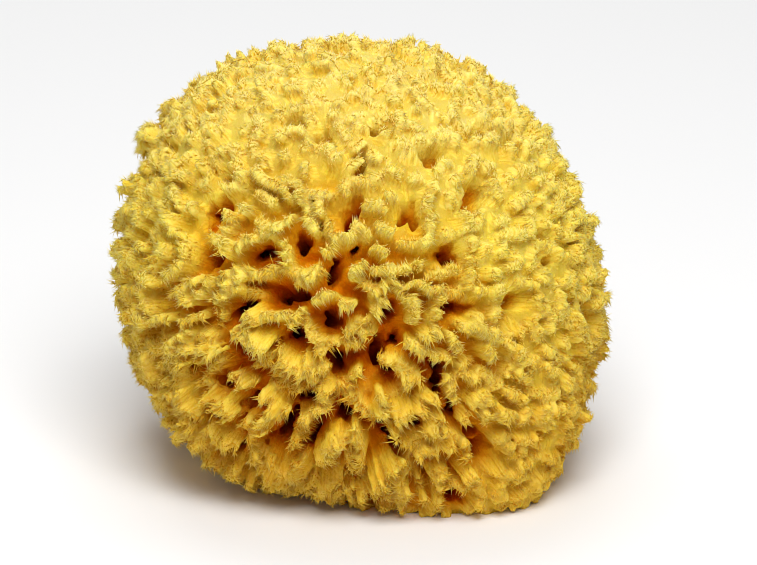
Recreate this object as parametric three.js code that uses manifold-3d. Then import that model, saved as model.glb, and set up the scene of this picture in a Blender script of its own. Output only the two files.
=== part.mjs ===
// A natural sea sponge, trimmed round and cut flat where it grew on the rock.
// It is one piece: a dome whose surface stands up in tufts, with open channels between them.
// Millimetres, +Z up. The origin is in the middle of the cut base, on the plane that the sponge rests on.
import * as THREE from "three";
import { ConvexHull } from "three/addons/math/ConvexHull.js";
import { mergeVertices } from "three/addons/utils/BufferGeometryUtils.js";
import Module from "manifold-3d";

// Driving dimensions
const WIDTH = 140; // left to right over the tuft tips
const DEPTH = 134; // front to back over the tuft tips
const HEIGHT = 121; // cut base to the highest tip
const HEART_HEIGHT = 38; // the point that the tufts and channels grow out from
const LOWER_REACH = 49; // how far the round form would go below the heart if it were not cut
const BOXINESS = 2.35; // 2 is an ellipsoid, more is squarer

// Places where the outline stands out or was trimmed back: a direction from the heart, millimetres, radians
const SWELLINGS = [
  { toward: new THREE.Vector3(-0.9, -0.25, -0.35).normalize(), swell: -8, spread: 0.42 },
  { toward: new THREE.Vector3(-0.36, -0.65, -0.67).normalize(), swell: -5, spread: 0.4 },
  { toward: new THREE.Vector3(0.62, -0.6, -0.5).normalize(), swell: 7, spread: 0.4 },
  { toward: new THREE.Vector3(-0.7, 0.25, 0.67).normalize(), swell: 4.5, spread: 0.4 },
  { toward: new THREE.Vector3(0.65, 0.26, 0.71).normalize(), swell: -2, spread: 0.35 },
  { toward: new THREE.Vector3(1, 0, 0.1).normalize(), swell: 1.5, spread: 0.4 },
];

// Tufts: blades with a blunt, ragged crest, standing on the floor of the gaps between them
const TUFT_SPACING = 9.4;
const TUFT_SPACING_SWING = 1.4; // wider apart on the front left, closer on the right
const TUFT_SHUFFLE = 3; // how far out of turn a tuft may come when they are placed
const COARSE_SIDE = new THREE.Vector3(-0.6, -0.8, 0.1).normalize();
const CREST_SIDES = 4;
const CREST_SHARE = [0.4, 0.22]; // half length and half width of a crest, as shares of the spacing
const CREST_RAGGED = 3.2; // how far a tip may stop short of the outline
const CREST_SLOPE = 2.6; // how far one end of a crest may lie below the other
const FOOT_SIDES = 5;
const FOOT_SHARE = [0.46, 0.4];
const LEAN = 1.4;
const GAP_DEPTH = 10; // from the outline down to the floor
const GAP_DEPTH_SWING = 2;
const TRIM_BAND = 16; // height above the cut over which shears have shortened the tufts
const TRIM_KEEP = 0.35; // share of the relief that is left at the cut

// Channels
const CHANNEL_SIDES = 6;
const CHANNEL_SHARE = [0.85, 0.85]; // of the mouth's radius, at the floor
const CHANNEL_DEPTH = 34;
const MOUTH_MARGIN = 1.8; // from a mouth's rim to the middle of the nearest tuft
const HIDDEN_CHANNEL_SPACING = 24; // on the sides that the reference view does not show
const HIDDEN_CHANNEL_RADIUS = [3, 5];

// Channel mouths in the reference view, as [pixel x, pixel y, radius in millimetres], in its 757 x 565 frame
const SEEN_MOUTHS = [
  [334, 264, 4.5], [326, 320, 4], [340, 367, 5], [377, 350, 3.5], [387, 380, 5], [398, 307, 4.5],
  [404, 336, 3.5], [362, 245, 3], [443, 386, 6], [470, 304, 5], [230, 309, 4.5], [245, 405, 5],
  [265, 455, 5], [300, 410, 4], [252, 249, 3.5], [304, 242, 4], [206, 199, 5], [221, 169, 4.5],
  [196, 250, 4.5], [297, 110, 3.5], [329, 134, 3.5], [251, 133, 3], [482, 196, 5.5], [443, 154, 5],
  [417, 206, 4], [361, 159, 4], [350, 203, 4.5], [486, 122, 4], [525, 141, 4], [452, 254, 4.5],
  [558, 245, 4.5], [517, 366, 4], [495, 445, 4.5], [500, 471, 4], [380, 443, 4], [421, 430, 4],
  [286, 296, 5], [222, 345, 4], [213, 387, 4], [283, 338, 4], [382, 122, 3.5], [156, 289, 4],
];
const VIEW_ELEVATION = THREE.MathUtils.degToRad(20);
const VIEW_HEART_PIXEL = [360, 330];
const VIEW_PIXELS_PER_MM = 3.6;

const HEART = new THREE.Vector3(0, 0, HEART_HEIGHT);
const MEAN_REACH = (WIDTH + DEPTH + 2 * (HEIGHT - HEART_HEIGHT)) / 6;

// A repeatable number from 0 to 1 for item i and purpose k
function chance(i, k) {
  const s = Math.sin(i * 127.1 + k * 311.7) * 43758.5453;
  return s - Math.floor(s);
}

// Distance from the heart to the outline over the tuft tips, along a unit direction
function reach(way) {
  const rise = way.z > 0 ? HEIGHT - HEART_HEIGHT : LOWER_REACH;
  const sum =
    Math.abs(way.x / (WIDTH / 2)) ** BOXINESS +
    Math.abs(way.y / (DEPTH / 2)) ** BOXINESS +
    Math.abs(way.z / rise) ** BOXINESS;
  let distance = sum ** (-1 / BOXINESS);
  for (const { toward, swell, spread } of SWELLINGS) {
    distance += swell * Math.exp(-((way.angleTo(toward) / spread) ** 2));
  }
  return distance;
}

// Directions spread evenly round the heart on a golden spiral
function spiralWays(count) {
  return Array.from({ length: count }, (_, i) => {
    const z = 1 - (2 * i + 1) / count;
    const turn = i * Math.PI * (3 - Math.sqrt(5));
    const ring = Math.sqrt(1 - z * z);
    return new THREE.Vector3(ring * Math.cos(turn), ring * Math.sin(turn), z);
  });
}

// Two unit directions across a way, the first turned by an angle from the level one
function across(way, angle) {
  const level = new THREE.Vector3(-way.y, way.x, 0);
  if (level.lengthSq() < 1e-6) level.set(1, 0, 0);
  level.normalize();
  const first = level.applyAxisAngle(way, angle);
  return [first, new THREE.Vector3().crossVectors(way, first)];
}

// Takes directions from the least rank(way, i) up, and keeps each that is spacing(way) clear of those kept
function scatter(ways, rank, spacing) {
  const order = ways.map((way, i) => ({ way, rank: rank(way, i) })).sort((a, b) => a.rank - b.rank);
  const kept = [];
  for (const { way } of order) {
    const closest = spacing(way) / MEAN_REACH;
    if (kept.every((other) => other.angleTo(way) > closest)) kept.push(way);
  }
  return kept;
}

// The direction from the heart to what the reference view shows at a pixel
function wayAtPixel(x, y) {
  const toViewer = new THREE.Vector3(0, -Math.cos(VIEW_ELEVATION), Math.sin(VIEW_ELEVATION));
  const up = new THREE.Vector3(0, Math.sin(VIEW_ELEVATION), Math.cos(VIEW_ELEVATION));
  const offset = new THREE.Vector3((x - VIEW_HEART_PIXEL[0]) / VIEW_PIXELS_PER_MM, 0, 0);
  offset.addScaledVector(up, (VIEW_HEART_PIXEL[1] - y) / VIEW_PIXELS_PER_MM);
  let [low, high] = [0, WIDTH];
  for (let step = 0; step < 30; step++) {
    const middle = (low + high) / 2;
    const point = offset.clone().addScaledVector(toViewer, middle);
    const inside = point.length() < reach(point.clone().normalize());
    if (inside) low = middle;
    else high = middle;
  }
  return offset.addScaledVector(toViewer, low).normalize();
}

// Millimetres from a direction to the rim of the nearest mouth, less than 0 inside it
function rimDistance(way, mouths) {
  return Math.min(...mouths.map((mouth) => mouth.way.angleTo(way) * MEAN_REACH - mouth.radius));
}

// Mouths of the open channels: those in view, then others scattered over the rest
function channelMouths() {
  const seen = SEEN_MOUTHS.map(([x, y, radius]) => ({ way: wayAtPixel(x, y), radius }));
  const unseen = spiralWays(600).filter((way) => rimDistance(way, seen) > HIDDEN_CHANNEL_SPACING / 2);
  const hidden = scatter(unseen, (way, i) => chance(i, 1), () => HIDDEN_CHANNEL_SPACING).map((way, i) => ({
    way,
    radius: THREE.MathUtils.lerp(...HIDDEN_CHANNEL_RADIUS, chance(i, 2)),
  }));
  return [...seen, ...hidden];
}

// Middles of the tufts, which close round the mouths first and then fill the rest
function tuftWays(mouths) {
  const clear = spiralWays(9000).filter((way) => rimDistance(way, mouths) > MOUTH_MARGIN);
  return scatter(clear, (way, i) => rimDistance(way, mouths) + TUFT_SHUFFLE * chance(i, 0), tuftSpacing);
}

function tuftSpacing(way) {
  return TUFT_SPACING + TUFT_SPACING_SWING * way.dot(COARSE_SIDE);
}

// Triangles of the convex hull of unit directions: neighbours on the sphere, seen from outside
function neighbourTriangles(ways) {
  const index = new Map(ways.map((way, i) => [way, i]));
  return new ConvexHull().setFromPoints(ways).faces.map((face) => {
    const corners = [];
    let edge = face.edge;
    do {
      corners.push(index.get(edge.head().point));
      edge = edge.next;
    } while (edge !== face.edge);
    return corners;
  });
}

// How much of the full relief is left at a direction: less in the trimmed band above the cut
function relief(way) {
  const height = HEART_HEIGHT + way.z * reach(way);
  return THREE.MathUtils.lerp(TRIM_KEEP, 1, THREE.MathUtils.smoothstep(height, 0, TRIM_BAND));
}

// Directions round an oval about a way, turned by an angle, with half sizes given as shares of a size
function oval(way, angle, [lengthShare, widthShare], size, sides) {
  const [along, over] = across(way, angle);
  return Array.from({ length: sides }, (_, side) => {
    const turn = (2 * Math.PI * (side + 0.5)) / sides;
    const aim = way.clone();
    aim.addScaledVector(along, ((lengthShare * size) / MEAN_REACH) * Math.cos(turn));
    aim.addScaledVector(over, ((widthShare * size) / MEAN_REACH) * Math.sin(turn));
    return aim.normalize();
  });
}

// A tuft's crest, which leans and slopes, and its foot on the floor
function tuftPoints(way, i) {
  const left = relief(way);
  const size = tuftSpacing(way);
  const angle = Math.PI * chance(i, 3);
  const [lean] = across(way, 2 * Math.PI * chance(i, 4));
  const short = CREST_RAGGED * chance(i, 5);
  const crest = oval(way, angle, CREST_SHARE, size, CREST_SIDES).map((aim, corner) => {
    const slope = corner < CREST_SIDES / 2 ? CREST_SLOPE * chance(i, 6 + corner) : 0;
    const push = lean.clone().multiplyScalar(LEAN * left);
    return { aim, distance: reach(aim) - (short + slope) * left, push };
  });
  const foot = oval(way, angle, FOOT_SHARE, size, FOOT_SIDES).map((aim, corner) => {
    const depth = GAP_DEPTH + GAP_DEPTH_SWING * (2 * chance(i, 10 + corner) - 1);
    return { aim, distance: reach(aim) - depth * left };
  });
  return [...crest, ...foot];
}

// A channel's rim on the floor, and its bottom
function channelPoints({ way, radius }) {
  const rim = oval(way, 0, CHANNEL_SHARE, radius, CHANNEL_SIDES).map((aim) => ({
    aim,
    distance: reach(aim) - GAP_DEPTH * relief(aim),
  }));
  return [...rim, { aim: way, distance: reach(way) - CHANNEL_DEPTH }];
}

const wasm = await Module();
wasm.setup();

// A closed geometry as a solid that can be cut
function solid(geometry) {
  geometry.deleteAttribute("normal");
  geometry.deleteAttribute("uv");
  const merged = mergeVertices(geometry, 1e-3);
  return new wasm.Manifold(
    new wasm.Mesh({
      numProp: 3,
      vertProperties: new Float32Array(merged.attributes.position.array),
      triVerts: new Uint32Array(merged.index.array),
    }),
  );
}

function geometryOf(body) {
  const { vertProperties, triVerts } = body.getMesh();
  const geometry = new THREE.BufferGeometry();
  geometry.setAttribute("position", new THREE.BufferAttribute(vertProperties, 3));
  geometry.setIndex(new THREE.BufferAttribute(triVerts, 1));
  geometry.computeVertexNormals();
  return geometry;
}

// The whole grown form, before it is cut from the rock
function grownForm() {
  const mouths = channelMouths();
  const points = [...tuftWays(mouths).flatMap(tuftPoints), ...mouths.flatMap(channelPoints)];
  const corners = points.map(({ aim, distance, push }) => {
    const corner = HEART.clone().addScaledVector(aim, distance);
    return push ? corner.add(push) : corner;
  });
  const geometry = new THREE.BufferGeometry().setFromPoints(corners);
  geometry.setIndex(neighbourTriangles(points.map(({ aim }) => aim)).flat());
  return solid(geometry);
}

// Everything below the cut
function rock() {
  const block = new THREE.BoxGeometry(2 * WIDTH, 2 * DEPTH, HEIGHT);
  block.translate(0, 0, -HEIGHT / 2);
  return solid(block);
}

const sponge = new THREE.Mesh(
  geometryOf(grownForm().subtract(rock())),
  new THREE.MeshStandardMaterial({ color: 0xd9b040, roughness: 0.95, metalness: 0, flatShading: true }),
);
sponge.name = "sponge";

const seaSponge = new THREE.Group();
seaSponge.add(sponge);

export default seaSponge;
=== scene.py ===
import math

import bpy
import numpy as np
import openvdb
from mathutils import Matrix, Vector


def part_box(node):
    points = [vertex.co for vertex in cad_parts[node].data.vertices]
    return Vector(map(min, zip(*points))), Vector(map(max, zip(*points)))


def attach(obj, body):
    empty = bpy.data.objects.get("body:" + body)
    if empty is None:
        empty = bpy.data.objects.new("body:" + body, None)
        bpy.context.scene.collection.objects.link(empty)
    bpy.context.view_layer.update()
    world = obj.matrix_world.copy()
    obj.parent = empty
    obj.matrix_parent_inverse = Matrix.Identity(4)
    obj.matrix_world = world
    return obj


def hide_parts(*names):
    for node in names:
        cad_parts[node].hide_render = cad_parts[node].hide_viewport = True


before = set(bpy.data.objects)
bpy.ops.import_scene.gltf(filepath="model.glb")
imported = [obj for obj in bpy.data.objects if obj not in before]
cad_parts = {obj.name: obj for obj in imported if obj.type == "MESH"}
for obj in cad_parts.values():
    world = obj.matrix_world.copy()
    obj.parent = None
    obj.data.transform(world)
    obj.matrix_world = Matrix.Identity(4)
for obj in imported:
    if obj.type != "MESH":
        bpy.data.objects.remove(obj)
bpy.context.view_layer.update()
mm = 0.001  # everything is worked out in millimetres and scaled once, when a mesh is made
rng = np.random.default_rng(11)

# The whole form: a dome that grows out from its heart, cut flat at the bottom
form = {
    "width": 140.0,  # over the tuft tips
    "depth": 134.0,
    "height": 121.0,
    "heartHeight": 38.0,
    "lowerReach": 49.0,  # below the heart, before the cut
    "boxiness": 2.35,
    "swellings": [  # toward, how far out or in, how wide in radians
        ((-0.9, -0.25, -0.35), -8.0, 0.42),
        ((-0.36, -0.65, -0.67), -5.0, 0.4),
        ((0.62, -0.6, -0.5), 7.0, 0.4),
        ((-0.7, 0.25, 0.67), 4.5, 0.4),
        ((0.65, 0.26, 0.71), -2.0, 0.35),
        ((1.0, 0.0, 0.1), 1.5, 0.4),
    ],
    "floor": (5.6, 17.0),  # tips down to the floor between the tufts, on the close side and the open side
    "floorSwing": 1.4,
    "openSides": [  # toward, and how open
        ((-0.25, -0.93, -0.05), 1.0),
        ((0.85, 0.45, -0.1), 0.8),
        ((-0.75, 0.65, 0.15), 0.9),
        ((0.1, 0.9, 0.35), 0.8),
    ],
    "openFrom": 0.35,  # cosine of the angle from its middle where an open side starts
    "openOver": 0.6,  # rise in that cosine until it is fully open
    "trimBand": 11.0,  # sheared shorter up to this height
    "trimKeep": 0.35,
}
heart = np.array([0.0, 0.0, form["heartHeight"]])
meanReach = (form["width"] + form["depth"] + 2 * (form["height"] - form["heartHeight"])) / 6


def chance(i, k):  # repeatable number from 0 to 1 for item i and purpose k
    s = np.sin(np.asarray(i) * 127.1 + k * 311.7) * 43758.5453
    return s - np.floor(s)


def unit(v):
    return v / np.linalg.norm(v, axis=-1, keepdims=True)


def mix(a, b, t):
    return a + (b - a) * t


def ease(x):
    x = np.clip(x, 0, 1)
    return x * x * (3 - 2 * x)


def reach(way):  # from the heart to the tuft tips
    rise = np.where(way[..., 2] > 0, form["height"] - form["heartHeight"], form["lowerReach"])
    half = (form["width"] / 2, form["depth"] / 2, rise)
    n = form["boxiness"]
    far = sum((np.abs(way[..., a]) / half[a]) ** n for a in range(3)) ** (-1 / n)
    for toward, swell, spread in form["swellings"]:
        aim = unit(np.array(toward)).astype(way.dtype)
        angle = np.arccos(np.clip(way @ aim, -1, 1))
        far = far + swell * np.exp(-((angle / spread) ** 2))
    return far


def sheared(tipHeight):  # share of the full tuft height that the shears left
    return mix(form["trimKeep"], 1.0, ease(tipHeight / form["trimBand"]))


def relief(way):
    return sheared(form["heartHeight"] + way[..., 2] * reach(way))


def openness(way):  # 0 where the tufts are small and close, 1 where they are big and open
    most = np.zeros(way.shape[:-1], way.dtype)
    for toward, share in form["openSides"]:
        aim = unit(np.array(toward)).astype(way.dtype)
        most = np.maximum(most, share * ease((way @ aim - form["openFrom"]) / form["openOver"]))
    return most


def spiralWays(count):  # directions spread evenly round the heart
    i = np.arange(count)
    z = 1 - (2 * i + 1) / count
    turn = i * math.pi * (3 - math.sqrt(5))
    ring = np.sqrt(1 - z * z)
    return np.stack([ring * np.cos(turn), ring * np.sin(turn), z], -1)


def across(way, angle):  # two directions across a way, the first turned from level
    level = unit(np.stack([-way[..., 1], way[..., 0], np.zeros(way.shape[:-1])], -1))
    over = np.cross(way, level)
    first = level * np.cos(angle)[..., None] + over * np.sin(angle)[..., None]
    return first, np.cross(way, first)


def scatter(ways, rank, spacing, start=None):  # keeps each way that is clear of those kept before it
    start = np.zeros((0, 3)) if start is None else start
    kept = np.zeros((len(start) + len(ways), 3))
    kept[: len(start)] = start
    count = len(start)
    limit = np.cos(spacing / meanReach)
    for i in np.argsort(rank, kind="stable"):
        if count == 0 or (kept[:count] @ ways[i]).max() < limit[i]:
            kept[count] = ways[i]
            count += 1
    return kept[len(start) : count]


# Mouths of the open channels. Those at the front are placed by pixel x, pixel y, radius in mm
channels = {
    "seen": [
        (334, 264, 4.5), (326, 320, 4), (340, 367, 5), (377, 350, 3.5), (387, 380, 5), (398, 307, 4.5),
        (404, 336, 3.5), (362, 245, 3), (443, 386, 6), (470, 304, 5), (230, 309, 4.5), (245, 405, 5),
        (265, 455, 5), (300, 410, 4), (252, 249, 3.5), (304, 242, 4), (206, 199, 5), (221, 169, 4.5),
        (196, 250, 4.5), (297, 110, 3.5), (329, 134, 3.5), (251, 133, 3), (482, 196, 5.5), (443, 154, 5),
        (417, 206, 4), (361, 159, 4), (350, 203, 4.5), (486, 122, 4), (525, 141, 4), (452, 254, 4.5),
        (558, 245, 4.5), (517, 366, 4), (495, 445, 4.5), (500, 471, 4), (380, 443, 4), (421, 430, 4),
        (286, 296, 5), (222, 345, 4), (213, 387, 4), (283, 338, 4), (382, 122, 3.5), (156, 289, 4),
    ],
    "slits": [  # narrower gaps low on the front
        (345, 423, 4.4), (395, 457, 4.2), (461, 423, 4.4), (471, 462, 4), (303, 461, 4.2), (205, 425, 3.6),
        (322, 439, 3.2), (278, 430, 3.2), (355, 487, 3), (184, 372, 3), (240, 372, 3.2), (430, 470, 3.2),
    ],
    "hiddenSpacing": 24.0,
    "hiddenRadius": (3.0, 5.0),
    "bottom": (17.0, 34.0),  # depth of a channel's end below the tips, on the close and open side
    "neck": 0.5,  # share of the mouth's radius that is left at the end
    "stretch": (1.4, 0.8),  # a mouth is longer one way than the other
    "wobble": 0.32,  # how uneven the rim is
    "faceFront": 0.8,  # how far the open front's channels turn from the heart to the front
    "faceFull": 0.8,  # cosine to the front from where they turn that far
    "proud": 6.0,  # how far a channel is cut above the tips
    "keepOpen": 0.68,  # share of a mouth on the open side that is clear of tufts
    "bend": 3.0,  # how far its end swings aside
    "endBlend": 3.0,  # how round its end is
    "mouthShare": 0.95,  # of the radius, at the mouth
    "blend": (2.5, 1.6),  # how softly the rim turns in, on the close side and on the open side
}
photo = {"size": (757, 565), "heartPixel": (360, 330), "pixelsPerMm": 3.6, "elevation": math.radians(20)}
toViewer = np.array([0, -math.cos(photo["elevation"]), math.sin(photo["elevation"])])
viewUp = np.array([0, math.sin(photo["elevation"]), math.cos(photo["elevation"])])
viewRight = np.array([1.0, 0.0, 0.0])


def waysAtPixels(pixels):
    right = (pixels[:, :1] - photo["heartPixel"][0]) / photo["pixelsPerMm"]
    up = (photo["heartPixel"][1] - pixels[:, 1:]) / photo["pixelsPerMm"]
    offset = right * viewRight + up * viewUp
    low, high = np.zeros(len(pixels)), np.full(len(pixels), form["width"])
    for step in range(30):
        middle = (low + high) / 2
        point = offset + middle[:, None] * toViewer
        inside = np.linalg.norm(point, axis=1) < reach(unit(point))
        low, high = np.where(inside, middle, low), np.where(inside, high, middle)
    return unit(offset + low[:, None] * toViewer)


def rimDistance(ways, mouthWays, mouthRadii):
    angle = np.arccos(np.clip(ways @ mouthWays.T, -1, 1))
    return (angle * meanReach - mouthRadii).min(1)


def slitDistance(ways, mouthWays, mouthRadii):  # the same, to the stretched outline of each mouth
    first, second = across(mouthWays, math.pi * chance(np.arange(len(mouthWays)), 51))
    long, short = channels["stretch"]
    u = (ways @ first.T) * meanReach / long
    w = (ways @ second.T) * meanReach / short
    far = np.where(ways @ mouthWays.T > 0, 0, form["width"])
    return (np.sqrt(u * u + w * w) - mouthRadii + far).min(1)


def growChannels():
    seen = np.array(channels["seen"], float)
    seenWays, seenRadii = waysAtPixels(seen[:, :2]), seen[:, 2]
    rest = spiralWays(600)
    rest = rest[rimDistance(rest, seenWays, seenRadii) > channels["hiddenSpacing"] / 2]
    rank = chance(np.arange(len(rest)), 1)
    hidden = scatter(rest, rank, np.full(len(rest), channels["hiddenSpacing"]))
    radii = mix(*channels["hiddenRadius"], chance(np.arange(len(hidden)), 2))
    return np.vstack([seenWays, hidden]), np.concatenate([seenRadii, radii])


def addSlits(mouthWays, mouthRadii):  # after the tall tufts, which keep clear of the other mouths only
    slits = np.array(channels["slits"], float)
    return np.vstack([mouthWays, waysAtPixels(slits[:, :2])]), np.concatenate([mouthRadii, slits[:, 2]])


# Tufts: the tall ones stand where the solid model has them, and frills fill the rows between
tufts = {
    "spacing": 9.4,
    "spacingSwing": 1.4,  # wider apart towards the coarse side
    "coarseSide": unit(np.array([-0.6, -0.8, 0.1])),
    "shuffle": 3.0,
    "mouthMargin": 1.8,
    "rimPull": 1.2,  # how strongly a tuft at a rim runs round the mouth
    "rimOver": 4.0,  # and over how many millimetres that fades
    "ragged": 3.2,  # how far a tip may stop short
    "lean": 1.4,
    "droop": (1.0, 4.0),  # on the close side and on the open side
    "shingle": 0.55,  # how far the open side's tufts turn level, like tiles, or upright low down
    "upright": (0.25, -0.1),  # height of the way where they start to stand upright, and where they all do
    "clear": 3.5,  # a tip droops less this near to a mouth
    "frillSpacing": (3.9, 5.2),  # on the close side and on the open side
    "frillMargin": (-0.8, 1.8),
    "frillShort": (2.2, 6.0),  # the most that a frill stops short
    "tallSize": 1.05,
    "frillSize": 0.95,
    "size": (0.9, 1.3),  # on the close side and on the open side, as the two below
    "footFat": (1.25, 1.35),
    "crestFat": (1.25, 0.8),
    "sizeSpread": (0.75, 1.4),  # least and most, as the pairs from here to notchLength
    "footHalf": (1.8, 2.8),
    "crestHalf": (2.0, 5.4),
    "footThick": (0.9, 1.2),
    "crestThick": (0.9, 1.35),
    "wave": (0.2, 0.8),
    "waveLength": (5.0, 9.0),
    "notchLength": (3.0, 6.0),
    "trimmedThick": 0.8,  # share of the thickness where the shears left least
    "notchLeast": 0.3,
    "notchMost": (1.8, 3.0),  # on the close side and on the open side
    "slope": 0.35,
    "crestRound": 0.06,
    "bow": 0.8,  # curl that goes with the flow
    "bowSpread": 0.5,
    "bowDown": 0.8,  # how far the open side's tufts curl downwards
    "curl": 3.2,
    "bend": 0.07,
    "twist": 1.0,
    "cleftScale": 2.2,
    "cleftWidth": 0.2,
    "cleftDepth": 6.0,  # off the frills
    "cleftFloor": 0.6,  # share of that off the floor
    "rootDepth": 16.5,  # below the tips
    "fringeRoom": 1.4,  # left for the fibres above the crest
    "blend": (0.9, 2.4),  # webbing at the tips and at the floor
}


def gaps(a, b):  # millimetres between directions, at the mean reach
    return np.arccos(np.clip(a @ b.T, -1, 1)) * meanReach


def tuftSpacing(ways):
    return tufts["spacing"] + tufts["spacingSwing"] * (ways @ tufts["coarseSide"])


def swirl(ways, turn):  # a slow random flow from -1 to 1 in three directions
    q = ways * meanReach
    x, y, z = q[..., 0], q[..., 1], q[..., 2]
    flow = [
        np.sin(y / 11 + 1.3 + turn) + 0.6 * np.sin(z / 7 + 2 * turn),
        np.sin(z / 12 + 0.4 + turn) + 0.6 * np.sin(x / 8 + 3 * turn),
        np.sin(x / 13 + 2.1 + turn) + 0.6 * np.sin(y / 7.5 + turn),
    ]
    return np.stack(flow, -1) / 1.6


def ravine(ways):  # 1 along the clefts that part the tufts into clumps, on the open side
    cleft = swirl(ways * tufts["cleftScale"], 7.0)[..., 0]
    return np.exp(-((cleft / tufts["cleftWidth"]) ** 2)) * openness(ways)


def bladeLines(ways, mouthWays, mouthRadii):  # the direction a blade runs: with the flow, or round a mouth
    flow = swirl(ways, 0.0)
    along = unit(flow - ways * (flow * ways).sum(-1, keepdims=True))
    rim = gaps(ways, mouthWays) - mouthRadii
    circle = unit(np.cross(ways, mouthWays[rim.argmin(1)]))
    circle *= np.where((circle * along).sum(1) < 0, -1, 1)[:, None]
    pull = ease(tufts["rimPull"] - rim.min(1) / tufts["rimOver"])[:, None]
    return unit(mix(along, circle, pull))


def growTufts(mouthWays, mouthRadii):
    ways = spiralWays(9000)
    ways = ways[rimDistance(ways, mouthWays, mouthRadii) > tufts["mouthMargin"]]
    rank = rimDistance(ways, mouthWays, mouthRadii) + tufts["shuffle"] * chance(np.arange(len(ways)), 0)
    return scatter(ways, rank, tuftSpacing(ways))


def growFrills(tall, mouthWays, mouthRadii):
    ways = spiralWays(22000)
    margin = mix(*tufts["frillMargin"], openness(ways))
    ways = ways[slitDistance(ways, mouthWays, mouthRadii) > margin]
    spacing = mix(*tufts["frillSpacing"], openness(ways))
    return scatter(ways, chance(np.arange(len(ways)), 21), spacing, tall)


def shapeBlades(tall, frills, mouthWays, mouthRadii):
    ways = np.vstack([tall, frills])
    i = np.arange(len(ways))
    isTall = i < len(tall)
    isOpen = openness(ways)
    left = relief(ways)
    size = np.where(isTall, tufts["tallSize"], tufts["frillSize"]) * mix(*tufts["size"], isOpen)
    size = size * mix(*tufts["sizeSpread"], chance(i, 45) ** 1.5)
    trimmed = mix(tufts["trimmedThick"], 1.0, left)
    # How far each stops short of the tips
    tallShort = tufts["ragged"] * chance(i, 5)
    frillShort = mix(*tufts["frillShort"], isOpen) * chance(i, 31)
    short = np.where(isTall, tallShort, frillShort) + tufts["cleftDepth"] * ravine(ways) * ~isTall
    # Which way its crest runs
    along = bladeLines(ways, mouthWays, mouthRadii)
    start, full = tufts["upright"]
    upright = ease((start - ways[:, 2]) / (start - full)) * math.pi / 2
    row, _ = across(ways, upright)
    row *= np.where((row * along).sum(1) < 0, -1, 1)[:, None]
    along = unit(mix(along, row, tufts["shingle"] * isOpen[:, None]))
    twist = tufts["twist"] * (2 * chance(i, 3) - 1)
    along = unit(along * np.cos(twist)[:, None] + np.cross(ways, along) * np.sin(twist)[:, None])
    # Where its tip leans and hangs
    lean, _ = across(ways, 2 * math.pi * chance(i, 4))
    down = np.array([0.0, 0.0, -1.0])
    hang = down - ways * (ways @ down)[:, None]
    droop = mix(*tufts["droop"], isOpen)
    below = unit(ways + hang * (droop / meanReach)[:, None])
    droop = droop * ease(slitDistance(below, mouthWays, mouthRadii) / tufts["clear"])
    lean = lean * tufts["lean"] + hang * droop[:, None]
    tipAt = heart + ways * (reach(ways) - (short + tufts["fringeRoom"]) * left)[:, None]
    tipAt = tipAt + lean * left[:, None]
    footAt = heart + ways * (reach(ways) - tufts["rootDepth"] * left)[:, None]
    axis = unit(tipAt - footAt)
    along = unit(along - axis * (along * axis).sum(1, keepdims=True))
    over = np.cross(axis, along)
    bow = (swirl(ways, 4.0) * over).sum(1) * tufts["bow"] + tufts["bowSpread"] * (2 * chance(i, 36) - 1)
    bow = mix(bow, np.abs(bow) * np.sign(over @ down), tufts["bowDown"] * isOpen)
    footFat = mix(*tufts["footFat"], isOpen)
    crestFat = mix(*tufts["crestFat"], isOpen)
    notchMost = mix(*tufts["notchMost"], isOpen)
    return {
        "foot": footAt,
        "axis": axis,
        "along": along,
        "over": over,
        "height": np.linalg.norm(tipAt - footAt, axis=1),
        "left": left,
        "open": isOpen,
        "footHalf": mix(*tufts["footHalf"], chance(i, 32)) * size,
        "crestHalf": mix(*tufts["crestHalf"], chance(i, 33) ** 1.6) * size,
        "footThick": mix(*tufts["footThick"], chance(i, 34)) * footFat * trimmed,
        "crestThick": mix(*tufts["crestThick"], chance(i, 35)) * crestFat * trimmed,
        "curl": bow * tufts["curl"] * left * size,
        "bend": (2 * chance(i, 44) - 1) * tufts["bend"] / size,
        "wave": mix(*tufts["wave"], chance(i, 37)) * size,
        "waveLength": mix(*tufts["waveLength"], chance(i, 38)),
        "waveTurn": 2 * math.pi * chance(i, 39),
        "notch": mix(tufts["notchLeast"], notchMost, chance(i, 40)) * left * size,
        "notchLength": mix(*tufts["notchLength"], chance(i, 41)),
        "notchTurn": 2 * math.pi * chance(i, 42),
        "slope": (2 * chance(i, 43) - 1) * tufts["slope"],
    }


def sway(b, u, share):  # how far a blade swings sideways, at u along it and a share of its height
    ripple = b["wave"] * np.sin(2 * math.pi * u / b["waveLength"] + b["waveTurn"])
    return b["curl"] * share**3 + ripple * share + b["bend"] * u * u


def crestAt(b, u):  # ragged upper edge
    tooth = 0.5 - 0.5 * np.cos(2 * math.pi * u / b["notchLength"] + b["notchTurn"])
    return b["height"] - b["notch"] * tooth**2 - b["slope"] * u - tufts["crestRound"] * u**2


def bladeDistance(b, u, w, s):
    share = np.clip(s / b["height"], 0, 1)
    w = w - sway(b, u, share)
    thick = mix(b["footThick"], b["crestThick"], share)
    half = mix(b["footHalf"], b["crestHalf"], share)
    crest = crestAt(b, u)
    past = np.maximum(np.abs(u) - (half - thick), 0)
    above = np.maximum(s - (crest - thick), 0)
    return np.sqrt(past**2 + w**2 + above**2) - thick


def softUnion(a, b, k):
    h = np.maximum(k - np.abs(a - b), 0) / k
    return np.minimum(a, b) - h * h * k / 4


def softCut(a, b, k):  # takes b out of a
    return -softUnion(-a, b, k)


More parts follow.
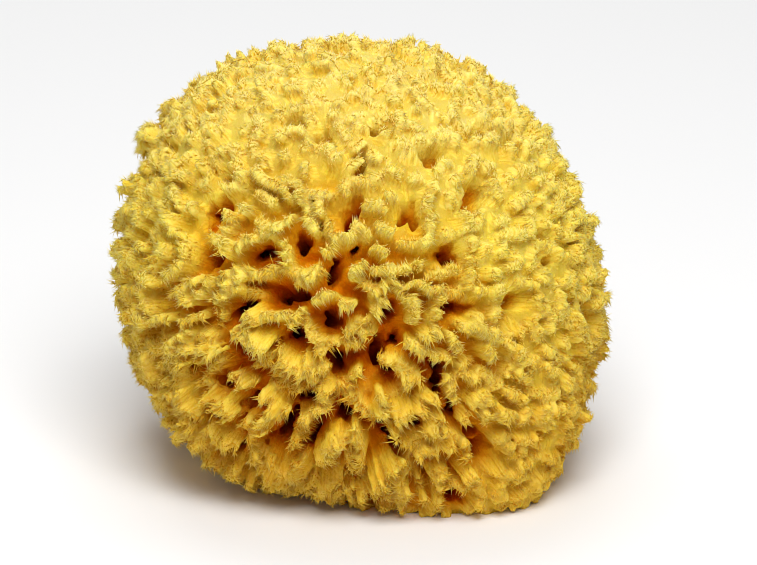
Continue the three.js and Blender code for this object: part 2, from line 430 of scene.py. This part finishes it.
# The body: a field of distances on a fine grid, meshed and thinned out
body = {
    "voxel": 0.5,
    "margin": 3.0,
    "triangles": 196000,  # in each half
    "overlap": 0.4,  # of the halves, where they meet
    "grain": 0.3,
    "grainWithin": 1.5,  # of the surface
    "grainCells": (3.2, 1.5),  # coarse and fine
    "fineGrain": 0.6,
    "farAway": 50.0,
    "flatWithin": 0.4,  # a point this near to the cut lies on it
    "runStep": 9.7,  # shifts the streaks from one tuft to the next
}


def latticeNoise(p, cell, seed):  # smooth noise from -1 to 1
    q = p / cell
    base = np.floor(q).astype(np.int64)
    t = ease(q - base)
    total = np.zeros(len(p))
    for corner in range(8):
        step = np.array([corner & 1, corner >> 1 & 1, corner >> 2 & 1])
        c = base + step
        n = np.sin(c[:, 0] * 12.9898 + c[:, 1] * 78.233 + c[:, 2] * 37.719 + seed * 4.137) * 43758.5453
        weight = np.where(step, t, 1 - t).prod(1)
        total += weight * (2 * (n - np.floor(n)) - 1)
    return total


class Grid:
    def __init__(self):
        h = body["voxel"]
        nodeLow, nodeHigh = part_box("sponge")
        low = np.array([nodeLow[0], nodeLow[1], 0.0]) / mm - body["margin"]
        high = np.array(nodeHigh) / mm + body["margin"]
        self.low = np.round(low / h) * h
        self.shape = np.ceil((high - self.low) / h).astype(int) + 1
        self.axes = [(self.low[a] + h * np.arange(self.shape[a])).astype(np.float32) for a in range(3)]
        self.field = np.zeros(self.shape, np.float32)
        self.nearest = np.full(self.shape, body["farAway"], np.float32)  # distance to the closest blade
        self.which = np.zeros(self.shape, np.int16)  # and which one that is
        self.depth = np.zeros(self.shape, np.float32)  # millimetres below the tips

    def window(self, low, high):
        h = body["voxel"]
        first = np.clip(np.floor((low - self.low) / h).astype(int), 0, self.shape)
        last = np.clip(np.ceil((high - self.low) / h).astype(int) + 1, 0, self.shape)
        return tuple(slice(a, b) for a, b in zip(first, last))

    def offsets(self, window, origin):
        x, y, z = (self.axes[a][window[a]] - np.float32(origin[a]) for a in range(3))
        return x[:, None, None], y[None, :, None], z[None, None, :]

    def sample(self, values, points):  # nearest grid value
        k = np.round((points - self.low) / body["voxel"]).astype(int)
        k = np.clip(k, 0, self.shape - 1)
        return values[k[:, 0], k[:, 1], k[:, 2]]


def along3(direction, x, y, z):
    d = direction.astype(np.float32)
    return x * d[0] + y * d[1] + z * d[2]


def fillCore(grid):
    y, z = np.meshgrid(grid.axes[1], grid.axes[2] - np.float32(heart[2]), indexing="ij")
    for i, x in enumerate(grid.axes[0]):
        p = np.stack([np.full(y.shape, x, np.float32), y, z], -1)
        far = np.sqrt((p * p).sum(-1)) + np.float32(1e-3)
        way = p / far[..., None]
        way[far < body["voxel"] / 2] = (0, 0, 1)  # at the heart itself
        out = reach(way)
        left = sheared(form["heartHeight"] + way[..., 2] * out)
        swell = np.sin(p[..., 0] / 3.1 + p[..., 1] / 7) * np.sin(p[..., 1] / 3.7) * np.sin(p[..., 2] / 3.3)
        grid.depth[i] = out - far
        floor = mix(*form["floor"], openness(way)) + form["floorSwing"] * swell
        floor = floor + tufts["cleftDepth"] * tufts["cleftFloor"] * ravine(way)
        grid.field[i] = far - out + floor * left


def addBlades(grid, blades):
    count = len(blades["height"])
    for i in range(count):
        b = {key: values[i] for key, values in blades.items()}
        tip = b["foot"] + b["axis"] * b["height"]
        room = b["crestHalf"] + abs(b["curl"]) + b["wave"] + 2
        low = np.minimum(b["foot"], tip) - room
        high = np.maximum(b["foot"], tip) + room
        if high[2] < 0:
            continue
        window = grid.window(low, high)
        x, y, z = grid.offsets(window, b["foot"])
        u = along3(b["along"], x, y, z)
        w = along3(b["over"], x, y, z)
        s = along3(b["axis"], x, y, z)
        distance = bladeDistance(b, u, w, s)
        near = distance < grid.nearest[window]
        grid.nearest[window] = np.where(near, distance, grid.nearest[window])
        grid.which[window] = np.where(near, i, grid.which[window])
        web = mix(*tufts["blend"], np.clip(grid.depth[window] / form["floor"][1], 0, 1))
        grid.field[window] = softUnion(grid.field[window], distance, web)


def cutChannels(grid, mouthWays, mouthRadii, shares):
    for i, (way, radius) in enumerate(zip(mouthWays, mouthRadii * shares)):
        if radius < body["voxel"]:
            continue
        mouth = heart + way * reach(way)
        isOpen = openness(way)
        facing = isOpen * ease(way @ toViewer / channels["faceFull"])
        axis = unit(way + channels["faceFront"] * facing * toViewer)
        bottom = mix(*channels["bottom"], isOpen)
        ends = np.stack([mouth - axis * bottom, mouth + axis * channels["proud"]])
        room = radius * channels["stretch"][0] + 4
        window = grid.window(ends.min(0) - room, ends.max(0) + room)
        if min(part.stop - part.start for part in window) <= 0:
            continue
        x, y, z = grid.offsets(window, mouth)
        first, second = across(axis, np.array(math.pi * chance(i, 51)))
        u = along3(first, x, y, z)
        w = along3(second, x, y, z)
        far = along3(axis, x, y, z)
        turn = 2 * math.pi * chance(i, 52)
        deep = np.clip(-far / bottom, 0, 1)
        u = u + channels["bend"] * deep * np.sin(far / 6 + turn)
        w = w + channels["bend"] * deep * np.cos(far / 7 + 2 * turn)
        angle = np.arctan2(w, u)  # of the point round the channel
        ragged = np.sin(2 * angle + turn) + 0.6 * np.sin(3 * angle + 2 * turn + far / 5)
        ragged = 1 + channels["wobble"] * (ragged + 0.5 * np.sin(5 * angle + 3 * turn - far / 2))
        u, w = u / channels["stretch"][0], w / channels["stretch"][1]
        wide = radius * mix(channels["mouthShare"], channels["neck"], deep)
        distance = np.sqrt(u * u + w * w) - wide * ragged
        distance = softCut(distance, far + bottom, channels["endBlend"])
        rim = mix(*channels["blend"], isOpen)
        grid.field[window] = softCut(grid.field[window], distance, rim)


def roughen(grid):
    close = np.argwhere(np.abs(grid.field) < body["grainWithin"])
    p = grid.low + close * body["voxel"]
    coarse, fine = body["grainCells"]
    bumps = latticeNoise(p, coarse, 1) + body["fineGrain"] * latticeNoise(p, fine, 2)
    grid.field[tuple(close.T)] += (body["grain"] * bumps).astype(np.float32)


def biggestPart(points, faces):  # drops crumbs that touch nothing
    label = np.arange(len(points))
    while True:
        low = label[faces].min(1)
        new = label.copy()
        for corner in range(faces.shape[1]):
            np.minimum.at(new, faces[:, corner], low)
        new = new[new]
        if (new == label).all():
            break
        label = new
    names, counts = np.unique(label, return_counts=True)
    keep = label == names[counts.argmax()]
    index = np.cumsum(keep) - 1
    return points[keep], index[faces[keep[faces[:, 0]]]]


def makeObject(name, points, faces, smooth=True):
    mesh = bpy.data.meshes.new(name)
    mesh.vertices.add(len(points))
    mesh.vertices.foreach_set("co", (points * mm).astype(np.float32).ravel())
    mesh.loops.add(faces.size)
    mesh.loops.foreach_set("vertex_index", faces.astype(np.int32).ravel())
    mesh.polygons.add(len(faces))
    mesh.polygons.foreach_set("loop_start", np.arange(0, faces.size, faces.shape[1], dtype=np.int32))
    mesh.polygons.foreach_set("use_smooth", np.full(len(faces), smooth))
    mesh.update(calc_edges=True)
    piece = bpy.data.objects.new(name, mesh)
    bpy.context.scene.collection.objects.link(piece)
    return piece


def meshPoints(mesh):
    co = np.zeros(len(mesh.vertices) * 3, np.float32)
    mesh.vertices.foreach_get("co", co)
    return co.reshape(-1, 3) / mm


def setValues(mesh, name, values):
    mesh.attributes.new(name, "FLOAT", "POINT").data.foreach_set("value", values.astype(np.float32))


def makeHalf(grid, blades, name, side):  # side is -1 for the front half and 1 for the back one
    cut = (-side * grid.axes[1] - body["overlap"])[None, :, None]
    vdbGrid = openvdb.FloatGrid(body["farAway"])
    vdbGrid.copyFromArray(np.maximum(grid.field, cut))
    points, tris, quads = vdbGrid.convertToPolygons(0.0, 0.0)
    faces = np.vstack([quads[:, [0, 1, 2]], quads[:, [0, 2, 3]], tris]).astype(np.int64)
    points = points * body["voxel"] + grid.low
    points, faces = biggestPart(points, faces)
    a, b, c = (points[faces[:, k]] for k in range(3))
    if (np.cross(b - a, c - a) * a).sum() < 0:
        faces = faces[:, ::-1]
    print(name, len(faces), "triangles before thinning")
    rough = makeObject("rough", points, faces)
    thin = rough.modifiers.new("thin", "DECIMATE")
    thin.ratio = min(1.0, body["triangles"] / len(faces))
    thin.use_collapse_triangulate = True
    ready = rough.evaluated_get(bpy.context.evaluated_depsgraph_get())
    mesh = bpy.data.meshes.new_from_object(ready)
    bpy.data.objects.remove(rough)
    mesh.name = name
    piece = bpy.data.objects.new(name, mesh)
    bpy.context.scene.collection.objects.link(piece)
    points = meshPoints(mesh)
    points[np.abs(points[:, 2]) < body["flatWithin"], 2] = 0
    mesh.vertices.foreach_set("co", (points * mm).astype(np.float32).ravel())
    mesh.update()
    way = unit(points - heart)
    depth = reach(way) - np.linalg.norm(points - heart, axis=1)
    setValues(mesh, "depth", depth / relief(way))
    which = grid.sample(grid.which, points)
    b = {key: values[which] for key, values in blades.items()}
    offset = points - b["foot"]
    u = (offset * b["along"]).sum(1)
    setValues(mesh, "run", u + body["runStep"] * which)
    setValues(mesh, "drop", crestAt(b, u) - (offset * b["axis"]).sum(1))
    print(name, len(mesh.polygons), "triangles")
    return piece


# The fringe: fibres combed over every crest, from its back to its front
fringe = {
    "count": 105000,  # the most that are kept
    "pieces": ["fringe_left", "fringe_front", "fringe_right", "fringe_back"],
    "spare": 1.6,  # tried for each one kept
    "length": (1.2, 2.9),
    "thick": 0.2,  # radius at the root
    "clump": 1.0,  # width of a tooth, which gathers its fibres
    "gather": 0.6,
    "toothLength": (0.75, 1.15),
    "shearedLength": 0.6,  # share of the length where the shears left least
    "closeLength": 0.75,  # and on the close side
    "overhang": 0.5,  # longer by this share just over the open side's crests
    "overhangAt": 0.3,
    "wild": 0.04,
    "wildLift": 0.8,
    "wildStray": 0.4,
    "otherSide": (0.5, 0.12),  # share combed to a tuft's upper side, on the close and open side
    "wrap": (-1.7, 1.5),  # where the roots sit round the crest, in radians from its top
    "openWrap": 0.9,  # how far they go on the open side
    "walls": 0.3,  # share that roots on the walls below the crest
    "wallDepth": 4.5,
    "lift": (0.1, 0.5),
    "fan": 0.6,
    "tuftFan": 0.35,
    "stray": 0.12,
    "sunk": 0.1,
    "rootWithin": 0.3,  # a root may stand this far off the surface
    "tipClear": 0.1,
    "proud": 1.2,  # the most that a fibre reaches past the tips
    "floorGap": 0.3,
    "sparseBelow": 40.0,  # fewer fibres from this height down
    "sparse": 0.4,
    "closeShare": 0.7,
}


def growFibres(grid, blades):
    # Share out the fibres by the size of each crest
    size = blades["crestHalf"] * (0.6 + blades["crestThick"])
    alive = (blades["foot"] + blades["axis"] * blades["height"][:, None])[:, 2] > 0
    alive = alive * mix(fringe["sparse"], 1.0, ease(blades["foot"][:, 2] / fringe["sparseBelow"]))
    alive = alive * mix(fringe["closeShare"], 1.0, blades["open"])
    share = size * alive / (size * alive).sum()
    tries = np.round(share * fringe["count"] * fringe["spare"]).astype(int)
    which = np.repeat(np.arange(len(size)), tries)
    b = {key: values[which] for key, values in blades.items()}
    n = len(which)
    # Along the crest, in teeth
    u = rng.uniform(-1, 1, n) * b["crestHalf"]
    inTooth = np.floor(u / fringe["clump"] + chance(which, 61) * 7)
    toothMiddle = (inTooth + 0.5 - chance(which, 61) * 7) * fringe["clump"]
    tooth = which * 37.0 + inTooth
    length = mix(*fringe["length"], rng.uniform(0, 1, n)) * mix(*fringe["toothLength"], chance(tooth, 62))
    length *= mix(fringe["shearedLength"], 1.0, b["left"]) * mix(fringe["closeLength"], 1.0, b["open"])
    wild = rng.uniform(0, 1, n) < fringe["wild"]
    # Round the crest, combed towards the tuft's lower side
    lower = np.sign(-b["over"][:, 2])
    side = np.where(chance(which, 64) < mix(*fringe["otherSide"], b["open"]), -lower, lower)
    first, last = fringe["wrap"]
    turn = mix(first, mix(last, fringe["openWrap"], b["open"]), rng.uniform(0, 1, n))
    hanging = np.exp(-((turn - fringe["overhangAt"]) ** 2) * 4)
    length = length * (1 + fringe["overhang"] * b["open"] * hanging)
    thick = b["crestThick"]
    s = crestAt(b, u) - thick
    w = sway(b, u, np.clip(s / b["height"], 0, 1))
    core = b["foot"] + b["along"] * u[:, None] + b["over"] * w[:, None] + b["axis"] * s[:, None]
    front = b["over"] * side[:, None]
    onWall = rng.uniform(0, 1, n) < fringe["walls"]
    turn = np.where(onWall, np.sign(turn) * math.pi / 2, turn)
    normal = b["axis"] * np.cos(turn)[:, None] + front * np.sin(turn)[:, None]
    around = front * np.cos(turn)[:, None] - b["axis"] * np.sin(turn)[:, None]
    below = np.where(onWall, fringe["wallDepth"] * b["left"] * rng.uniform(0, 1, n), 0)
    root = core + normal * (thick - fringe["sunk"])[:, None] - b["axis"] * below[:, None]
    # Which way each lies
    lift = mix(*fringe["lift"], chance(tooth, 65)) + np.where(wild, fringe["wildLift"], 0)
    fan = fringe["fan"] * (2 * chance(tooth, 66) - 1) + fringe["tuftFan"] * (2 * chance(which, 63) - 1)
    stray = rng.normal(0, fringe["stray"], (n, 3))
    stray = stray + np.where(wild, fringe["wildStray"], 0)[:, None] * rng.normal(0, 1, (n, 3))
    lie = unit(around + normal * lift[:, None] + b["along"] * fan[:, None] + stray)
    gather = b["along"] * (fringe["gather"] * (toothMiddle - u))[:, None]
    tip = root + lie * length[:, None] + gather
    # Keep those that grow out of the surface, over the floor and within the tips
    rooted = grid.sample(grid.field, root) < fringe["rootWithin"]
    out = grid.sample(grid.field, tip) > fringe["tipClear"]
    fits = np.linalg.norm(tip - heart, axis=1) < reach(unit(tip - heart)) + fringe["proud"]
    clear = (tip[:, 2] > fringe["floorGap"]) & (root[:, 2] > fringe["floorGap"])
    good = np.flatnonzero(rooted & out & fits & clear)
    print("fringe:", len(good), "fibres of", n)
    good = np.sort(rng.permutation(good)[: fringe["count"]])
    return root[good], tip[good]


def fibreMesh(name, root, tip):  # each fibre is a closed three-sided spike
    n = len(root)
    lie = unit(tip - root)
    helper = np.where(np.abs(lie[:, 2:]) < 0.8, [0.0, 0.0, 1.0], [1.0, 0.0, 0.0])
    first = unit(np.cross(lie, helper))
    second = np.cross(lie, first)
    points = np.zeros((n, 4, 3))
    for corner in range(3):
        turn = 2 * math.pi * corner / 3
        points[:, corner] = root + (first * math.cos(turn) + second * math.sin(turn)) * fringe["thick"]
    points[:, 3] = tip
    one = np.array([(2, 1, 0), (0, 1, 3), (1, 2, 3), (2, 0, 3)])
    faces = one[None] + 4 * np.arange(n)[:, None, None]
    piece = makeObject(name, points.reshape(-1, 3), faces.reshape(-1, 3))
    setValues(piece.data, "grown", np.tile([0.0, 0.0, 0.0, 1.0], n))
    flat = points.reshape(-1, 3) - heart
    setValues(piece.data, "depth", reach(unit(flat)) - np.linalg.norm(flat, axis=1))
    print(name, len(piece.data.polygons), "triangles")
    return piece


def makeFringe(grid, blades):
    root, tip = growFibres(grid, blades)
    order = np.argsort(np.mod(np.arctan2(root[:, 1], root[:, 0]) + 1.25 * math.pi, 2 * math.pi))
    parts = np.array_split(order, len(fringe["pieces"]))
    return [fibreMesh(name, root[k], tip[k]) for name, k in zip(fringe["pieces"], parts)]


# Finishes
def newMaterial(name):
    material = bpy.data.materials.new(name)
    material.use_nodes = True
    nodes, links = material.node_tree.nodes, material.node_tree.links
    return material, nodes, links, nodes["Principled BSDF"]


def rescale(nodes, links, value, low, high):
    scale = nodes.new("ShaderNodeMapRange")
    scale.inputs["From Min"].default_value = low
    scale.inputs["From Max"].default_value = high
    links.new(value, scale.inputs["Value"])
    return scale.outputs["Result"]


def readValue(nodes, links, name, low, high):
    source = nodes.new("ShaderNodeAttribute")
    source.attribute_name = name
    return rescale(nodes, links, source.outputs["Fac"], low, high)


def colourRamp(nodes, links, value, stops):
    ramp = nodes.new("ShaderNodeValToRGB")
    for k, (position, colour) in enumerate(stops):
        stop = ramp.color_ramp.elements[k] if k < 2 else ramp.color_ramp.elements.new(position)
        stop.position = position
        stop.color = (*colour, 1)
    links.new(value, ramp.inputs["Fac"])
    return ramp.outputs["Color"]


def multiply(nodes, links, a, b):
    node = nodes.new("ShaderNodeMix")
    node.data_type = "RGBA"
    node.blend_type = "MULTIPLY"
    node.inputs["Factor"].default_value = 1.0
    links.new(a, node.inputs["A"])
    links.new(b, node.inputs["B"])
    return node.outputs["Result"]


def noise(nodes, links, scale, detail):
    place = nodes.new("ShaderNodeTexCoord")
    texture = nodes.new("ShaderNodeTexNoise")
    texture.inputs["Scale"].default_value = scale
    texture.inputs["Detail"].default_value = detail
    links.new(place.outputs["Object"], texture.inputs["Vector"])
    return texture.outputs["Fac"]


def streaks(nodes, links, fine, stretch):  # fibres that lie along a tuft, from its foot to its crest
    run = nodes.new("ShaderNodeAttribute")
    run.attribute_name = "run"
    drop = nodes.new("ShaderNodeAttribute")
    drop.attribute_name = "drop"
    place = nodes.new("ShaderNodeCombineXYZ")
    links.new(run.outputs["Fac"], place.inputs["X"])
    links.new(drop.outputs["Fac"], place.inputs["Y"])
    size = nodes.new("ShaderNodeMapping")
    size.inputs["Scale"].default_value = (fine, stretch, 1)
    links.new(place.outputs["Vector"], size.inputs["Vector"])
    texture = nodes.new("ShaderNodeTexNoise")
    texture.noise_dimensions = "2D"
    texture.inputs["Scale"].default_value = 1.0
    texture.inputs["Detail"].default_value = 2.0
    links.new(size.outputs["Vector"], texture.inputs["Vector"])
    return texture.outputs["Fac"]


heightShading = {  # painted shade: darker and browner towards the cut at the bottom, and painted light: paler at the top
    "height": 0.12,
    "colours": [
        (0.0, (0.90, 0.71, 0.43)),
        (0.65, (1, 1, 1)),
        (1.0, (1, 1, 1.45)),
    ],
}


# paints shade low down and light at the top, by height
def paintedHeightShading(nodes, links):
    place = nodes.new("ShaderNodeTexCoord")
    split = nodes.new("ShaderNodeSeparateXYZ")
    links.new(place.outputs["Object"], split.inputs["Vector"])
    height = rescale(nodes, links, split.outputs["Z"], 0.0, heightShading["height"])
    return colourRamp(nodes, links, height, heightShading["colours"])


def bump(nodes, links, height, strength, distance):
    node = nodes.new("ShaderNodeBump")
    node.inputs["Strength"].default_value = strength
    node.inputs["Distance"].default_value = distance
    links.new(height, node.inputs["Height"])
    return node


wool = {
    "wallShadeSpan": (0, 12),  # millimetres down from a tuft's own crest, over which the painted shade deepens
    # the paler crest is the wool's own tone; darker and more orange down the wall is painted shade
    "walls": [
        (0.0, (0.92, 0.76, 0.14)),
        (0.2, (0.92, 0.74, 0.10)),
        (0.6, (0.91, 0.70, 0.06)),
        (1.0, (0.89, 0.62, 0.03)),
    ],
    "shadeSpan": (9, 28),  # millimetres below the tips, over which the painted shade of the recesses darkens
    # painted shade: darker and redder down in the gaps and channels
    "deep": [
        (0.0, (1, 1, 1)),
        (0.22, (0.95, 0.64, 0.22)),
        (0.45, (0.84, 0.33, 0.07)),
        (1.0, (0.66, 0.11, 0.015)),
    ],
    "patchNoise": (60, 3),  # scale and detail
    "patches": [
        (0.3, (0.94, 0.88, 0.78)),
        (0.7, (1, 1, 1)),
    ],
    "streaks": (1.5, 0.22),  # to the millimetre, across a tuft and down it
    "strands": [
        (0.32, (0.90, 0.80, 0.55)),
        (0.5, (1, 1, 1)),
        (0.7, (1.05, 1.08, 1.35)),
    ],
    "glow": 0.6,
    "glowColour": (1, 0.7, 0.2),
    "glowDepth": 0.0022,
    "feltNoise": (1100, 4),
    "felt": (0.8, 0.0008),  # strength and distance
    "ribs": (0.6, 0.0006),
}


def woolMaterial():
    material, nodes, links, shader = newMaterial("spongin_wool")
    # walls: painted shade down each tuft's wall, under its paler crest
    walls = colourRamp(nodes, links, readValue(nodes, links, "drop", *wool["wallShadeSpan"]), wool["walls"])
    # deep: painted shade in the gaps and channels
    deep = colourRamp(nodes, links, readValue(nodes, links, "depth", *wool["shadeSpan"]), wool["deep"])
    patches = colourRamp(nodes, links, noise(nodes, links, *wool["patchNoise"]), wool["patches"])
    combed = streaks(nodes, links, *wool["streaks"])
    strands = colourRamp(nodes, links, combed, wool["strands"])
    colour = walls
    # the last layer is painted shade low down and painted light at the top
    for layer in (deep, patches, strands, paintedHeightShading(nodes, links)):
        colour = multiply(nodes, links, colour, layer)
    links.new(colour, shader.inputs["Base Color"])
    shader.inputs["Roughness"].default_value = 0.9
    shader.inputs["Specular IOR Level"].default_value = 0.0
    shader.inputs["Subsurface Weight"].default_value = wool["glow"]
    shader.inputs["Subsurface Radius"].default_value = wool["glowColour"]
    shader.inputs["Subsurface Scale"].default_value = wool["glowDepth"]
    felt = bump(nodes, links, noise(nodes, links, *wool["feltNoise"]), *wool["felt"])
    ribs = bump(nodes, links, combed, *wool["ribs"])
    links.new(felt.outputs["Normal"], ribs.inputs["Normal"])
    links.new(ribs.outputs["Normal"], shader.inputs["Normal"])
    return material


fibre = {
    "grown": [  # from root to tip; the paler tip is partly the fibre's own tone and partly painted light
        (0.0, (0.93, 0.72, 0.07)),
        (0.5, (0.96, 0.79, 0.15)),
        (1.0, (0.98, 0.86, 0.36)),
    ],
    # millimetres below the tips, over which the fibres' painted shade darkens
    "shadeSpan": (1, 12),
    # painted shade: fibres down among the tufts are darker and more orange
    "deep": [
        (0.0, (1, 1, 1)),
        (0.45, (0.97, 0.83, 0.5)),
        (1.0, (0.92, 0.60, 0.15)),
    ],
    "glow": 0.25,
    "glowColour": (1, 0.7, 0.25),
    "glowDepth": 0.0003,
}


def fibreMaterial():
    material, nodes, links, shader = newMaterial("spongin_fibre")
    # paler towards the tip: partly the fibre's own tone, partly painted light
    colour = colourRamp(nodes, links, readValue(nodes, links, "grown", 0, 1), fibre["grown"])
    # deep: painted shade on the fibres down among the tufts
    deep = colourRamp(nodes, links, readValue(nodes, links, "depth", *fibre["shadeSpan"]), fibre["deep"])
    # the last layer is painted shade low down and painted light at the top
    for layer in (deep, paintedHeightShading(nodes, links)):
        colour = multiply(nodes, links, colour, layer)
    links.new(colour, shader.inputs["Base Color"])
    shader.inputs["Roughness"].default_value = 0.8
    shader.inputs["Specular IOR Level"].default_value = 0.05
    shader.inputs["Subsurface Weight"].default_value = fibre["glow"]
    shader.inputs["Subsurface Radius"].default_value = fibre["glowColour"]
    shader.inputs["Subsurface Scale"].default_value = fibre["glowDepth"]
    return material


# Studio: pale floor, big soft lights, long lens
studio = {
    "floorSize": 6.0,
    "floorColour": (0.9, 0.9, 0.9, 1),
    "sky": 0.28,
    "lens": 500.0,
    "sensor": 36.0,
    "nudge": (-2, 4),  # pixels left and up
    "key": ((0.08, -0.66, 0.97), 0.65, 12.4),  # place, size and power
    "top": ((-0.1, 0.6, 1.0), 0.8, 4.6),
}


def softLight(name, place, size, power):
    light = bpy.data.lights.new(name, "AREA")
    light.size = size
    light.energy = power
    lamp = bpy.data.objects.new(name, light)
    bpy.context.scene.collection.objects.link(lamp)
    lamp.location = place
    aim = Vector(tuple(heart * mm)) - lamp.location
    lamp.rotation_euler = aim.to_track_quat("-Z", "Y").to_euler()


def makeStudio():
    half = studio["floorSize"] / 2 / mm
    corners = np.array([(-half, -half, 0), (half, -half, 0), (half, half, 0), (-half, half, 0)])
    floor = makeObject("floor", corners, np.array([[0, 1, 2, 3]]))
    material, nodes, links, shader = newMaterial("pale_floor")
    shader.inputs["Base Color"].default_value = studio["floorColour"]
    shader.inputs["Roughness"].default_value = 0.9
    floor.data.materials.append(material)
    world = bpy.data.worlds.new("studio")
    world.use_nodes = True
    sky = world.node_tree.nodes["Background"]
    sky.inputs["Color"].default_value = (1, 1, 1, 1)
    sky.inputs["Strength"].default_value = studio["sky"]
    bpy.context.scene.world = world
    for name in ("key", "top"):
        softLight(name, *studio[name])


def makeCamera():
    camera = bpy.data.cameras.new("camera")
    camera.lens = studio["lens"]
    camera.sensor_width = studio["sensor"]
    wide, tall = photo["size"]
    away = studio["lens"] / studio["sensor"] * wide / photo["pixelsPerMm"]
    right = (wide / 2 - photo["heartPixel"][0] - studio["nudge"][0]) / photo["pixelsPerMm"]
    up = (photo["heartPixel"][1] - tall / 2 - studio["nudge"][1]) / photo["pixelsPerMm"]
    target = heart + right * viewRight + up * viewUp
    holder = bpy.data.objects.new("camera", camera)
    bpy.context.scene.collection.objects.link(holder)
    holder.location = Vector(tuple((target + away * toViewer) * mm))
    holder.rotation_euler = Vector(tuple(-toViewer)).to_track_quat("-Z", "Y").to_euler()
    bpy.context.scene.camera = holder


mouthWays, mouthRadii = growChannels()
tall = growTufts(mouthWays, mouthRadii)
mouthWays, mouthRadii = addSlits(mouthWays, mouthRadii)
frills = growFrills(tall, mouthWays, mouthRadii)
blades = shapeBlades(tall, frills, mouthWays, mouthRadii)
print(len(mouthWays), "channels,", len(tall), "tufts,", len(frills), "frills")
grid = Grid()
fillCore(grid)
print("core filled", grid.shape)
cutChannels(grid, mouthWays, mouthRadii, np.ones(len(mouthRadii)))
addBlades(grid, blades)
cutChannels(grid, mouthWays, mouthRadii, channels["keepOpen"] * openness(mouthWays) ** 2)
roughen(grid)
grid.field = np.maximum(grid.field, -grid.axes[2])
print("field ready")

woolFinish, fibreFinish = woolMaterial(), fibreMaterial()
halves = [makeHalf(grid, blades, "sponge_front", -1), makeHalf(grid, blades, "sponge_back", 1)]
for half in halves:
    half.data.materials.append(woolFinish)
    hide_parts("sponge")
fringes = makeFringe(grid, blades)
for piece in fringes:
    piece.data.materials.append(fibreFinish)
for piece in halves + fringes:
    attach(piece, "root")

makeStudio()
makeCamera()
bpy.context.scene.view_settings.view_transform = "Standard"
bpy.context.scene.cycles.diffuse_bounces = 6
bpy.context.scene.cycles.filter_width = 1.1
